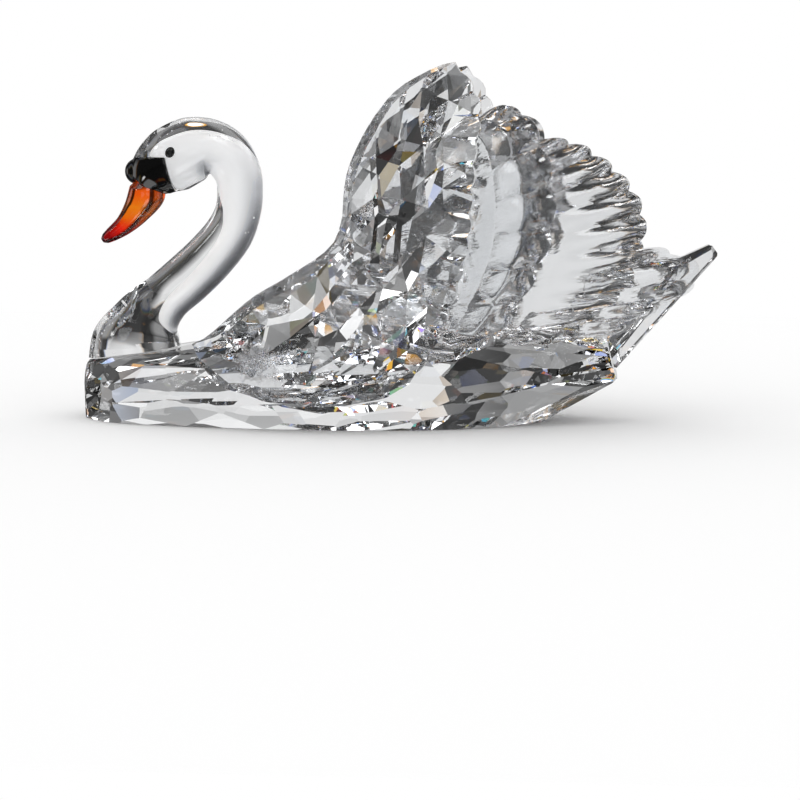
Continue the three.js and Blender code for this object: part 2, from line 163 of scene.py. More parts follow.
def tidyNormals(piece):
    work = bmesh.new()
    work.from_mesh(piece.data)
    bmesh.ops.recalc_face_normals(work, faces=work.faces[:])
    work.to_mesh(piece.data)
    work.free()


def shade(piece, smoothAngle):
    mesh = piece.data
    smooth = smoothAngle is not None
    mesh.polygons.foreach_set("use_smooth", [smooth] * len(mesh.polygons))
    if smooth:
        mesh.set_sharp_from_angle(angle=math.radians(smoothAngle))
    mesh.update()


def applyModifiers(piece):
    graph = bpy.context.evaluated_depsgraph_get()
    graph.update()
    mesh = bpy.data.meshes.new_from_object(piece.evaluated_get(graph))
    piece.modifiers.clear()
    piece.data = mesh


def combine(piece, other, operation):
    cut = piece.modifiers.new("combine", "BOOLEAN")
    cut.operation, cut.object, cut.solver = operation, other, "EXACT"
    applyModifiers(piece)
    bpy.data.objects.remove(other)


def keepLargest(piece):
    work = bmesh.new()
    work.from_mesh(piece.data)
    left, islands = set(work.verts), []
    while left:
        stack, island = [left.pop()], set()
        while stack:
            vert = stack.pop()
            island.add(vert)
            near = {edge.other_vert(vert) for edge in vert.link_edges} & left
            left -= near
            stack.extend(near)
        islands.append(island)
    largest = max(islands, key=len)
    bmesh.ops.delete(work, geom=[v for v in work.verts if v not in largest], context="VERTS")
    work.to_mesh(piece.data)
    work.free()


# Takes off what lies beyond a plane and closes the hole that this leaves
def cutBeyond(work, point, normal):
    everything = work.verts[:] + work.edges[:] + work.faces[:]
    cut = bmesh.ops.bisect_plane(
        work, geom=everything, plane_co=point, plane_no=normal, clear_outer=True, dist=1e-7
    )
    rim = [e for e in cut["geom_cut"] if isinstance(e, bmesh.types.BMEdge)]
    bmesh.ops.holes_fill(work, edges=rim, sides=0)


def cutFlat(piece, point, normal):
    work = bmesh.new()
    work.from_mesh(piece.data)
    cutBeyond(work, point, normal)
    bmesh.ops.recalc_face_normals(work, faces=work.faces[:])
    work.to_mesh(piece.data)
    work.free()


# A closed mesh over rings of points that all have the same count
def overRings(name, rings, smoothAngle=None):
    rings = np.asarray(rings)
    count, sides = rings.shape[:2]
    points = list(rings.reshape(-1, 3))
    faces = []
    for ring in range(count - 1):
        for side in range(sides):
            a = ring * sides + side
            b = ring * sides + (side + 1) % sides
            faces.append((a, b, b + sides, a + sides))
    for ring in (0, count - 1):
        points.append(rings[ring].mean(axis=0))
        for side in range(sides):
            faces.append((ring * sides + side, ring * sides + (side + 1) % sides, len(points) - 1))
    return meshPiece(name, points, faces, smoothAngle)


# The faces that close a slab round its rim, between a front and a back grid of points
def rimFaces(rows, columns):
    total = rows * columns
    rim = [*range(columns - 1), *(i * columns + columns - 1 for i in range(rows - 1))]
    rim += [*range(total - 1, total - columns, -1), *(i * columns for i in range(rows - 1, 0, -1))]
    return [(b, a, a + total, b + total) for a, b in zip(rim, rim[1:] + rim[:1])]


def mirroredPiece(piece, name):
    mesh = piece.data.copy()
    mesh.name = name
    mesh.transform(((1, 0, 0, 0), (0, -1, 0, 0), (0, 0, 1, 0), (0, 0, 0, 1)))
    mesh.flip_normals()
    twin = bpy.data.objects.new(name, mesh)
    scene.collection.objects.link(twin)
    return twin


# A copy of a solid, grown by a margin, to cut its neighbours with
def grownCopy(node, margin):
    work = bmesh.new()
    work.from_mesh(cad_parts[node].data)
    bmesh.ops.remove_doubles(work, verts=work.verts[:], dist=1e-6)
    bmesh.ops.dissolve_limit(work, angle_limit=math.radians(0.5), verts=work.verts[:], edges=work.edges[:])
    work.normal_update()
    for vert in work.verts:
        vert.co += vert.normal * vert.calc_shell_factor() * margin
    return pieceFrom(work, node + "Cutter")


def place(piece, material, slot, *nodes):
    piece.data.materials.clear()
    piece.data.materials.append(material)
    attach(piece, "root")
    if nodes:
        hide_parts(*nodes)
    return piece


# Node helpers
def addNode(tree, kind, settings=None, **inputs):
    node = tree.nodes.new(kind)
    for key, value in (settings or {}).items():
        setattr(node, key, value)
    for key, value in inputs.items():
        socket = node.inputs[int(key[1:]) if key[0] == "i" and key[1:].isdigit() else key.replace("_", " ")]
        if isinstance(value, bpy.types.NodeSocket):
            tree.links.new(value, socket)
        else:
            socket.default_value = value
    return node


def sums(tree, operation, a, b=0.0, c=0.0):
    return addNode(tree, "ShaderNodeMath", {"operation": operation}, i0=a, i1=b, i2=c).outputs[0]


def between(tree, value, low, high, toLow=0.0, toHigh=1.0):
    node = addNode(tree, "ShaderNodeMapRange", {"interpolation_type": "SMOOTHSTEP"}, Value=value)
    for name, number in (("From Min", low), ("From Max", high), ("To Min", toLow), ("To Max", toHigh)):
        node.inputs[name].default_value = number
    return node.outputs[0]


def noiseAt(tree, vector, scale, detail=2.0, roughness=0.5):
    return addNode(
        tree, "ShaderNodeTexNoise", Vector=vector, Scale=scale, Detail=detail, Roughness=roughness
    ).outputs["Fac"]


# A colour with its alpha, where a plain number stands for a grey
def fourOf(light):
    return (*light, 1) if isinstance(light, tuple) else (light, light, light, 1)


def ramp(tree, value, stops):
    node = addNode(tree, "ShaderNodeValToRGB", Fac=value)
    elements = node.color_ramp.elements
    while len(elements) < len(stops):
        elements.new(0.5)
    for element, (position, colour) in zip(elements, stops):
        element.position = position
        element.color = fourOf(colour)
    return node.outputs["Color"]


def newGroup(name, inputs, outputs):
    group = bpy.data.node_groups.new(name, "ShaderNodeTree")
    for label, kind, value in inputs:
        socket = group.interface.new_socket(name=label, in_out="INPUT", socket_type=kind)
        socket.default_value = value
    for label, kind in outputs:
        group.interface.new_socket(name=label, in_out="OUTPUT", socket_type=kind)
    return group, group.nodes.new("NodeGroupInput"), group.nodes.new("NodeGroupOutput")


def newMaterial(name, **plain):
    material = bpy.data.materials.new(name)
    material.use_nodes = True
    tree = material.node_tree
    shader = tree.nodes["Principled BSDF"]
    for key, value in plain.items():
        shader.inputs[key.replace("_", " ")].default_value = value
    return material, tree, shader


def place3d(tree):
    return addNode(tree, "ShaderNodeTexCoord").outputs["Object"]


# Shared effects
effects = {
    "smears": (0.56, 0.74),  # share of the noise above which handling marks show
    "smearDetail": 4,
    "speckle": (0.42, 0.6),
    "frostEdge": (1.0, 1.3),  # shares of the frost's reach between which it fades out
    "ragged": 0.35,
    "raggedScale": 600.0,
}


def makePolishGroup():
    # Roughness of polished glass with faint handling marks, and a height for its last unevenness
    group, given, made = newGroup(
        "polish",
        [
            ("Polish", "NodeSocketFloat", 0.004),
            ("Marks", "NodeSocketFloat", 0.04),
            ("Mark Scale", "NodeSocketFloat", 90.0),
            ("Wave Scale", "NodeSocketFloat", 60.0),
            ("Wave", "NodeSocketFloat", 0.2),
        ],
        [("Roughness", "NodeSocketFloat"), ("Height", "NodeSocketFloat")],
    )
    at = place3d(group)
    clouds = noiseAt(group, at, given.outputs["Mark Scale"], effects["smearDetail"], 0.6)
    smears = between(group, clouds, *effects["smears"])
    marks = sums(group, "MULTIPLY", smears, given.outputs["Marks"])
    group.links.new(sums(group, "ADD", marks, given.outputs["Polish"]), made.inputs["Roughness"])
    waves = noiseAt(group, at, given.outputs["Wave Scale"], 1.5, 0.4)
    group.links.new(sums(group, "MULTIPLY", waves, given.outputs["Wave"]), made.inputs["Height"])
    return group


def makeFrostGroup():
    # Speckled frosting inside a soft ball of space, as a roughness and a height
    group, given, made = newGroup(
        "frost",
        [
            ("Centre", "NodeSocketVector", (0, 0, 0)),
            ("Reach", "NodeSocketFloat", 0.004),
            ("Grain", "NodeSocketFloat", 3000.0),
            ("Frost", "NodeSocketFloat", 0.5),
        ],
        [("Roughness", "NodeSocketFloat"), ("Height", "NodeSocketFloat")],
    )
    at = place3d(group)
    parts = addNode(group, "ShaderNodeSeparateXYZ", Vector=at)
    folded = addNode(  # both sides of the swan have the same frosting
        group,
        "ShaderNodeCombineXYZ",
        X=parts.outputs["X"],
        Y=sums(group, "ABSOLUTE", parts.outputs["Y"]),
        Z=parts.outputs["Z"],
    ).outputs[0]
    away = addNode(
        group, "ShaderNodeVectorMath", {"operation": "DISTANCE"}, i0=folded, i1=given.outputs["Centre"]
    )
    share = sums(group, "DIVIDE", away.outputs["Value"], given.outputs["Reach"])
    noise = noiseAt(group, at, effects["raggedScale"])
    ragged = sums(group, "MULTIPLY_ADD", noise, effects["ragged"], share)
    mask = between(group, ragged, *effects["frostEdge"], 1.0, 0.0)
    grain = noiseAt(group, at, given.outputs["Grain"], 3, 0.7)
    speckle = between(group, grain, *effects["speckle"])
    rough = sums(group, "MULTIPLY", sums(group, "MULTIPLY", mask, speckle), given.outputs["Frost"])
    group.links.new(rough, made.inputs["Roughness"])
    group.links.new(sums(group, "MULTIPLY", mask, grain), made.inputs["Height"])
    return group


polishGroup = makePolishGroup()
frostGroup = makeFrostGroup()


def usePolish(tree, shader, looks):
    polish = addNode(tree, "ShaderNodeGroup", {"node_tree": polishGroup})
    for key, label in (
        ("polish", "Polish"),
        ("marks", "Marks"),
        ("markScale", "Mark Scale"),
        ("waveScale", "Wave Scale"),
        ("wave", "Wave"),
    ):
        polish.inputs[label].default_value = looks[key]
    bump = addNode(tree, "ShaderNodeBump", Height=polish.outputs["Height"], Strength=1.0)
    bump.inputs["Distance"].default_value = looks["waveDepth"] * mm
    tree.links.new(polish.outputs["Roughness"], shader.inputs["Roughness"])
    tree.links.new(bump.outputs[0], shader.inputs["Normal"])
    return polish, bump


def useFrost(tree, shader, polish, bump, looks):
    frost = addNode(tree, "ShaderNodeGroup", {"node_tree": frostGroup})
    frost.inputs["Centre"].default_value = looks["frostCentre"]
    frost.inputs["Reach"].default_value = looks["frostReach"] * mm
    frost.inputs["Grain"].default_value = looks["frostGrain"]
    frost.inputs["Frost"].default_value = looks["frost"]
    total = sums(tree, "ADD", polish.outputs["Roughness"], frost.outputs["Roughness"])
    tree.links.new(total, shader.inputs["Roughness"])
    frostBump = addNode(tree, "ShaderNodeBump", Height=frost.outputs["Height"])
    frostBump.inputs["Distance"].default_value = looks["frostDepth"] * mm
    tree.links.new(bump.outputs[0], frostBump.inputs["Normal"])
    tree.links.new(frostBump.outputs[0], shader.inputs["Normal"])


# Clear cut crystal
crystalLooks = {
    "tint": (0.975, 0.982, 0.99, 1),
    "ior": 1.56,
    "polish": 0.0,
    "marks": 0.03,
    "markScale": 70.0,
    "waveScale": 45.0,
    "wave": 1.0,
    "waveDepth": 0.02,
}


def startCrystal(name):
    material, tree, shader = newMaterial(
        name, Base_Color=crystalLooks["tint"], IOR=crystalLooks["ior"], Transmission_Weight=1.0
    )
    return material, tree, shader, *usePolish(tree, shader, crystalLooks)


def makeCrystal(name, frosting=None):
    material, tree, shader, polish, bump = startCrystal(name)
    if frosting:
        useFrost(tree, shader, polish, bump, frosting)
    return material


crystal = makeCrystal("cutCrystal")


# Feathered crystal: the same glass with fine barbs pressed into it, which run along each feather
barbLooks = {"across": 5.0, "along": 1.4, "depth": 0.05}  # depth in mm


def makeFeatherCrystal():
    material, tree, shader, _, bump = startCrystal("featherCrystal")
    uv = addNode(tree, "ShaderNodeTexCoord").outputs["UV"]
    stretched = addNode(
        tree,
        "ShaderNodeVectorMath",
        {"operation": "MULTIPLY"},
        i0=uv,
        i1=(barbLooks["across"], barbLooks["along"], 1),
    ).outputs[0]
    barbs = noiseAt(tree, stretched, 1.0, 3, 0.55)
    barbBump = addNode(tree, "ShaderNodeBump", Height=barbs, Distance=barbLooks["depth"] * mm)
    tree.links.new(bump.outputs[0], barbBump.inputs["Normal"])
    tree.links.new(barbBump.outputs[0], shader.inputs["Normal"])
    return material


featherCrystal = makeFeatherCrystal()
print("crystal ready")


# Neck and head: stations along one line, as [x, z, radius in the plane of symmetry, radius
# across it], where the radii are shares of the swan's length
neck = {
    "stations": [
        (-0.419, -0.14, 0.079, 0.064),
        (-0.419, 0, 0.079, 0.064),
        (-0.417, 0.067, 0.0755, 0.062),
        (-0.407, 0.139, 0.0605, 0.053),
        (-0.396, 0.19, 0.05, 0.046),
        (-0.372, 0.256, 0.041, 0.041),
        (-0.335, 0.338, 0.041, 0.041),
        (-0.3, 0.425, 0.04, 0.04),
        (-0.27, 0.521, 0.0385, 0.0385),
        (-0.256, 0.607, 0.0362, 0.0362),
        (-0.2525, 0.68, 0.036, 0.036),
        (-0.256, 0.765, 0.037, 0.037),
        (-0.276, 0.842, 0.0405, 0.0395),
        (-0.302, 0.868, 0.0455, 0.042),
        (-0.33, 0.857, 0.0525, 0.0455),
        (-0.358, 0.822, 0.0535, 0.046),
        (-0.379, 0.786, 0.048, 0.042),
        (-0.394, 0.749, 0.04, 0.036),
        (-0.405, 0.714, 0.0285, 0.027),
    ],
    "rings": 216,
    "sides": 96,
    "smoothAngle": 40,
    "seatPoint": (-0.495, 0.0),
    "seatTilt": (-0.19 * swan["hullHeight"], 0.215 * swan["length"]),
    "ior": 1.5,
    "tint": (0.97, 0.975, 0.98, 1),
    "polish": 0.0,
    "marks": 0.02,
    "markScale": 60.0,
    "waveScale": 220.0,
    "wave": 1.0,
    "waveDepth": 0.03,
    "frostCentre": (along(-0.402), 0.0, onNeck(0.86)),
    "frostReach": 4.6,  # mm
    "frostGrain": 2600.0,
    "frostDepth": 0.25,
    "frost": 0.5,
}


# The middle of a tube, the way to its outer side and its two radii, at places along its line
def tubeLine(stations, t):
    middles = [(along(x), 0, onNeck(z)) for x, z, _, _ in stations]
    step = 1e-4
    line = throughPoints(middles, t)
    tangent = throughPoints(middles, t + step) - throughPoints(middles, t - step)
    tangent /= np.linalg.norm(tangent, axis=1, keepdims=True)
    shares = np.array([(tall, wide) for _, _, tall, wide in stations])
    radii = throughPoints(shares * swan["length"], t) * mm  # millimetres, as in the solids
    outer = np.stack([tangent[:, 2], 0 * t, -tangent[:, 0]], axis=1)
    return line, outer, radii


def ringsRound(line, outer, shift, radii, sides):
    angle = np.linspace(0, 2 * math.pi, sides, endpoint=False)
    reach = shift[:, None] + np.cos(angle)[None, :] * radii[:, :1]
    rings = line[:, None] + outer[:, None] * reach[:, :, None]
    rings[:, :, 1] = np.sin(angle)[None, :] * radii[:, 1:]
    return rings


def tubeRings(stations, ringCount, sides, margin=0.0):
    t = np.linspace(0, 1, ringCount + 1)
    line, outer, radii = tubeLine(stations, t)
    return ringsRound(line, outer, 0 * t, radii + margin * mm, sides)


# The corner of space that the black mask fills, as a block
mask = {
    "top": (-0.3655, 0.826),
    "rear": (0.983, 0.186),
    "reach": 0.12,
    "knob": (-0.416, 0.77),
    "melted": 0.12,  # mm that the mask reaches into the neck
    "knobRadius": 3.3,
    "voxel": 0.22,  # mm
    "smoothing": 6,
    "softness": 0.5,
    "smoothAngle": 50,
}


def maskCorner(clearance):
    reach = along(mask["reach"])
    x, z = along(mask["top"][0]), onNeck(mask["top"][1]) - clearance * mm
    lean = mask["rear"][1] / mask["rear"][0]
    back = x - clearance * mm
    outline = [(x - reach, z), (back, z), (back + reach * lean, z - reach), (x - reach, z - reach)]
    points = [(px, y, pz) for y in (-reach, reach) for px, pz in outline]
    faces = [(0, 1, 2, 3), (7, 6, 5, 4)] + [(i, (i + 1) % 4, (i + 1) % 4 + 4, i + 4) for i in range(4)]
    return meshPiece("maskCorner", points, faces)


def makeCasedGlass():
    material, tree, shader = newMaterial(
        "casedGlass", Base_Color=neck["tint"], IOR=neck["ior"], Transmission_Weight=1.0
    )
    polish, bump = usePolish(tree, shader, neck)
    useFrost(tree, shader, polish, bump, neck)
    return material


def makeNeck():
    piece = overRings("neckGlass", tubeRings(neck["stations"], neck["rings"], neck["sides"]))
    down = Vector((-neck["seatTilt"][0], 0, -neck["seatTilt"][1])).normalized()
    x, z = neck["seatPoint"]
    point = Vector((along(x), 0, onNeck(z))) - down * swan["fit"] * mm
    cutFlat(piece, point, down)
    combine(piece, maskCorner(0), "DIFFERENCE")
    keepLargest(piece)
    shade(piece, neck["smoothAngle"])
    return piece


place(makeNeck(), makeCasedGlass(), "cased_glass", "neck")

# The opal core sealed in the neck, as [share along the neck's line, how far it is set towards the
# back of the neck, its radius in the plane of symmetry, its radius across], radii in shares of
# the neck's own
core = {
    "stations": [
        (0.165, 0.62, 0.02, 0.02),
        (0.18, 0.6, 0.16, 0.2),
        (0.215, 0.5, 0.26, 0.34),
        (0.27, 0.38, 0.32, 0.42),
        (0.34, 0.33, 0.35, 0.46),
        (0.42, 0.26, 0.41, 0.52),
        (0.5, 0.1, 0.56, 0.6),
        (0.56, 0.02, 0.65, 0.66),
        (0.63, -0.04, 0.63, 0.68),
        (0.7, -0.14, 0.54, 0.68),
        (0.78, -0.12, 0.55, 0.7),
        (0.84, -0.1, 0.57, 0.7),
        (0.87, -0.1, 0.54, 0.64),
        (0.89, -0.1, 0.44, 0.52),
        (0.9, -0.1, 0.26, 0.3),
        (0.903, -0.1, 0.03, 0.03),
    ],
    "rings": 150,
    "sides": 64,
    "smoothAngle": 60,
    "clearance": 0.12,  # mm, to the mask
    # Strength of a painted glow: the core shines by its own emission, though it is no lamp
    "glow": 0.58,
    "light": Vector((0.66, 0.0, -0.75)),  # the way of the painted shade: surface that faces along it is painted darkest
    "head": (-0.059, 0.0, 0.062),  # round this point the painted shade is weaker
    "headReach": (0.006, 0.0115),  # m
    "shadeContrast": (0.12, 0.5),  # at the head, and beyond its reach
    "middle": 0.45,
    "cloud": 0.1,
    "cloudScale": 160.0,
    "paintedShades": [
        (0.0, (0.96, 0.96, 0.955)),
        (0.5, (0.92, 0.925, 0.93)),
        (0.7, (0.78, 0.79, 0.8)),
        (0.82, (0.48, 0.49, 0.51)),
        (0.92, (0.2, 0.205, 0.22)),
        (1.0, (0.07, 0.072, 0.08)),
    ],
}


def makeCoreGlass():
    material, tree, shader = newMaterial("opalCorePaintedShade", Roughness=0.45)
    # Painted shade: the core's colour darkens where its surface faces along the light arrow, less so round
    # the head, with a little random cloud in it
    facing = addNode(
        tree,
        "ShaderNodeVectorMath",
        {"operation": "DOT_PRODUCT"},
        i0=addNode(tree, "ShaderNodeTexCoord").outputs["Normal"],
        i1=core["light"],
    ).outputs["Value"]
    away = addNode(
        tree, "ShaderNodeVectorMath", {"operation": "DISTANCE"}, i0=place3d(tree), i1=core["head"]
    ).outputs["Value"]
    shadeContrast = between(tree, away, *core["headReach"], *core["shadeContrast"])
    cloud = sums(tree, "MULTIPLY", noiseAt(tree, place3d(tree), core["cloudScale"], 3), core["cloud"])
    middle = sums(tree, "ADD", cloud, core["middle"])
    paintedShade = sums(tree, "MULTIPLY_ADD", facing, shadeContrast, middle)
    colour = ramp(tree, paintedShade, core["paintedShades"])
    tree.links.new(colour, shader.inputs["Base Color"])
    # The painted shade also goes into the emission, as a painted glow
    tree.links.new(colour, shader.inputs["Emission Color"])
    shader.inputs["Emission Strength"].default_value = core["glow"]
    return material


def makeCore():
    t, shift, tall, wide = throughPoints(core["stations"], np.linspace(0, 1, core["rings"] + 1)).T
    line, outer, radii = tubeLine(neck["stations"], t)
    shares = np.stack([tall, wide], axis=1)
    rings = ringsRound(line, outer, shift * radii[:, 0], shares * radii, core["sides"])
    piece = overRings("neckCore", rings)
    combine(piece, maskCorner(-core["clearance"]), "DIFFERENCE")
    shade(piece, core["smoothAngle"])
    return piece


place(makeCore(), makeCoreGlass(), "cased_glass")

# Small bubbles in the clear glass round the core, as [from, to] along the neck's line and the
# angle round it, where 0 is its outer side
bubbles = {
    "seed": 11,
    "swarms": [(0.66, 0.93, -60, 60, 26), (0.44, 0.6, -50, 50, 8), (0.07, 0.2, 110, 250, 30)],
    "depth": (0.8, 0.93),  # shares of the neck's radius
    "radius": (0.1, 0.28),  # mm
    # The wall of a bubble sends nearly all light back, so it looks like a white pearl; its white emission
    # is a painted glow on top of that
    "looks": {
        "Base_Color": (0.95, 0.95, 0.96, 1),
        "Roughness": 0.15,
        "Emission_Color": (1, 1, 1, 1),
        "Emission_Strength": 0.5,
    },
}


def makeBubbles():
    chance = np.random.default_rng(bubbles["seed"])
    work = bmesh.new()
    for start, end, low, high, count in bubbles["swarms"]:
        t = chance.uniform(start, end, count)
        line, outer, radii = tubeLine(neck["stations"], t)
        angle = np.radians(chance.uniform(low, high, count))
        depth = chance.uniform(*bubbles["depth"], count)
        size = chance.uniform(*bubbles["radius"], count) * mm
        spots = line + outer * (np.cos(angle) * depth * radii[:, 0])[:, None]
        spots[:, 1] = np.sin(angle) * depth * radii[:, 1]
        for spot, radius in zip(spots, size):
            made = bmesh.ops.create_icosphere(work, subdivisions=2, radius=radius)
            bmesh.ops.translate(work, verts=made["verts"], vec=Vector(spot))
    piece = pieceFrom(work, "neckBubbles")
    shade(piece, core["smoothAngle"])
    return piece


place(makeBubbles(), newMaterial("bubbleSkinPaintedGlow", **bubbles["looks"])[0], "cased_glass")
print("neck ready")


# Mask and bill
bill = {
    "stations": [
        (-0.392, 0.765, 0.011, 0.013),
        (-0.397, 0.73, 0.021, 0.021),
        (-0.402, 0.681, 0.0295, 0.029),
        (-0.419, 0.608, 0.0225, 0.0235),
        (-0.438, 0.552, 0.0162, 0.019),
        (-0.46, 0.51, 0.0115, 0.0155),
        (-0.4695, 0.494, 0.0085, 0.012),
        (-0.474, 0.487, 0.0045, 0.007),
    ],
    "rings": 90,
    "sides": 56,
    "smoothAngle": 50,
    "ior": 1.5,
    "colourHeights": (0.48, 0.74),
    "drift": 0.0045,  # m of unevenness in the heights of the colours
    "driftScale": 350.0,
    "colours": [  # from the tip up to the root
        (0.04, (0.07, 0.001, 0.006)),
        (0.17, (0.42, 0.003, 0.004)),
        (0.34, (0.9, 0.02, 0.004)),
        (0.52, (1.0, 0.17, 0.005)),
        (0.8, (1.0, 0.26, 0.01)),
        (0.98, (1.0, 0.12, 0.005)),
    ],
    "polish": 0.01,
    "marks": 0.03,
    "markScale": 200.0,
    "waveScale": 320.0,
    "wave": 1.0,
    "waveDepth": 0.05,
}
black = {
    "colour": (0.003, 0.003, 0.003, 1),
    "ior": 1.5,
    "polish": 0.0,
    "marks": 0.05,
    "markScale": 260.0,
    "waveScale": 260.0,
    "wave": 1.0,
    "waveDepth": 0.06,
}


def makeBillGlass():
    material, tree, shader = newMaterial("amberRedGlass", IOR=bill["ior"], Transmission_Weight=1.0)
    usePolish(tree, shader, bill)
    at = addNode(tree, "ShaderNodeSeparateXYZ", Vector=place3d(tree))
    noise = noiseAt(tree, place3d(tree), bill["driftScale"])
    z = sums(tree, "MULTIPLY_ADD", noise, bill["drift"], at.outputs["Z"])
    height = between(tree, z, *(onNeck(share) for share in bill["colourHeights"]))
    colour = ramp(tree, height, bill["colours"])
    tree.links.new(colour, shader.inputs["Base Color"])
    return material


def makeBlackGlass():
    material, tree, shader = newMaterial("blackGlass", Base_Color=black["colour"], IOR=black["ior"])
    usePolish(tree, shader, black)
    return material


def makeBill(margin):
    name = "billCutter" if margin else "billGlass"
    rings = tubeRings(bill["stations"], bill["rings"], bill["sides"], margin)
    return overRings(name, rings, bill["smoothAngle"])


def ballPiece(name, centre, radii, rotation=0.0, segments=48, smoothAngle=60):
    work = bmesh.new()
    bmesh.ops.create_uvsphere(work, u_segments=segments, v_segments=segments // 2, radius=1)
    turn = np.array([[math.cos(rotation), -math.sin(rotation)], [math.sin(rotation), math.cos(rotation)]])
    for vert in work.verts:
        x, y, z = (vert.co[i] * radii[i] for i in range(3))
        x, z = turn @ (x, z)
        vert.co = Vector((x, y, z)) + Vector(centre)
    piece = pieceFrom(work, name)
    shade(piece, smoothAngle)
    return piece


def makeMask():
    piece = overRings("maskGlass", tubeRings(neck["stations"], neck["rings"], neck["sides"]))
    combine(piece, maskCorner(-mask["melted"]), "INTERSECT")
    keepLargest(piece)
    x, z = mask["knob"]
    radius = mask["knobRadius"] * mm
    combine(piece, ballPiece("knob", (along(x), 0, onNeck(z)), (radius,) * 3), "UNION")
    melt = piece.modifiers.new("melt", "REMESH")
    melt.mode, melt.voxel_size = "VOXEL", mask["voxel"] * mm
    soften = piece.modifiers.new("soften", "SMOOTH")
    soften.factor, soften.iterations = mask["softness"], mask["smoothing"]
    applyModifiers(piece)
    combine(piece, makeBill(swan["fit"] / 3), "DIFFERENCE")
    keepLargest(piece)
    shade(piece, mask["smoothAngle"])
    return piece


blackGlass = makeBlackGlass()
place(makeBill(0), makeBillGlass(), "amber_red_glass", "bill")
place(makeMask(), blackGlass, "black_glass", "mask")

eye = {
    "place": (-0.3565, 0.0425, 0.848),
    "radii": (1.18, 1.0, 1.4),  # mm
    "tilt": -28.0,  # degrees
}


def makeEye(name, side):
    x, y, z = eye["place"]
    centre = (along(x), side * along(y), onNeck(z))
    return ballPiece(name, centre, [r * mm for r in eye["radii"]], math.radians(eye["tilt"]))


for side, word in ((-1, "left"), (1, "right")):
    place(makeEye(word + "EyeDot", side), blackGlass, "black_glass", word + "_eye")
print("mask, bill and eyes ready")


# Wing plates: the flat glue faces at their backs, as [plates between it and the outer one, x of
# its middle, lean along x, z of its middle, lean along z]
glue = {
    "outerShare": 0.77,  # of the hull's half width
    "coverts": (0, 0, -0.08, 0.43, 0.12),
    "secondaries": (1, 0.06, 0, 0.37, 0.125),
    "primaries": (2.1, 0.16, 0.07, 0.37, 0.125),
    "tertials": (2.9, 0.38, 0.1, 0.37, 0.12),
}


# The y of a glue face over x and z
def gluePlane(name):
    plates, xAt, perX, zAt, perZ = glue[name]
    y = -glue["outerShare"] * swan["hullHalfWidth"] * mm + plates * swan["plateThickness"] * mm
    return lambda x, z: y + perX * (x - along(xAt)) + perZ * (z - onWing(zAt))


covertsBack = gluePlane("coverts")
secondariesBack = gluePlane("secondaries")
primariesBack = gluePlane("primaries")
tertialsBack = gluePlane("tertials")

feathers = {
    "scallopDepth": 1.7,  # mm
    "scallopFrom": 0.86,  # share of the feather
    "fluteDepth": 1.5,
    "thinnest": 0.2,
    "barbTurns": 6,
    "pointsPerFeather": 14,
    "rows": 22,
    "smoothAngle": 24,
}
wingPlates = {
    "secondaries": {
        "root": [(0.06, 0.747), (0.03, 0.557), (0.01, 0.346), (-0.03, 0.135), (-0.06, -0.002)],
        "edge": [
            (0.13, 0.847),
            (0.165, 0.865),
            (0.206, 0.821),
            (0.235, 0.684),
            (0.24, 0.546),
            (0.222, 0.42),
            (0.176, 0.262),
            (0.11, 0.103),
            (0.016, 0.009),
        ],
        "feathers": 10,
        "front": covertsBack,
        "back": secondariesBack,
        "fall": 0.4,  # share of the thickness that the front drops back towards the edge
        "covered": 0.62,  # share of a feather that lies under the plate before it
        "tipRounding": 3.2,  # mm
        "roundFrom": 0.8,
    },
    "primaries": {
        "root": [(0.15, 0.684), (0.12, 0.473), (0.1, 0.293), (0.06, 0.125), (0.02, -0.002)],
        "edge": [
            (0.225, 0.778),
            (0.28, 0.752),
            (0.338, 0.673),
            (0.372, 0.578),
            (0.376, 0.473),
            (0.35, 0.346),
            (0.285, 0.235),
            (0.21, 0.119),
            (0.12, 0.024),
        ],
        "feathers": 15,
        "front": secondariesBack,
        "back": primariesBack,
        "fall": 0.45,
        "covered": 0.5,
        "tipRounding": 1.8,
        "roundFrom": 0.87,
    },
    "tertials": {
        "root": [(0.31, 0.409), (0.28, 0.325), (0.25, 0.241), (0.22, 0.156)],
        "edge": [
            (0.375, 0.452),
            (0.415, 0.446),
            (0.455, 0.399),
            (0.455, 0.351),
            (0.41, 0.288),
            (0.35, 0.219),
            (0.29, 0.156),
        ],
        "feathers": 6,
        "front": primariesBack,
        "back": tertialsBack,
        "fall": 0.4,
        "covered": 0.3,
        "tipRounding": 1.4,
        "roundFrom": 0.84,
    },
}


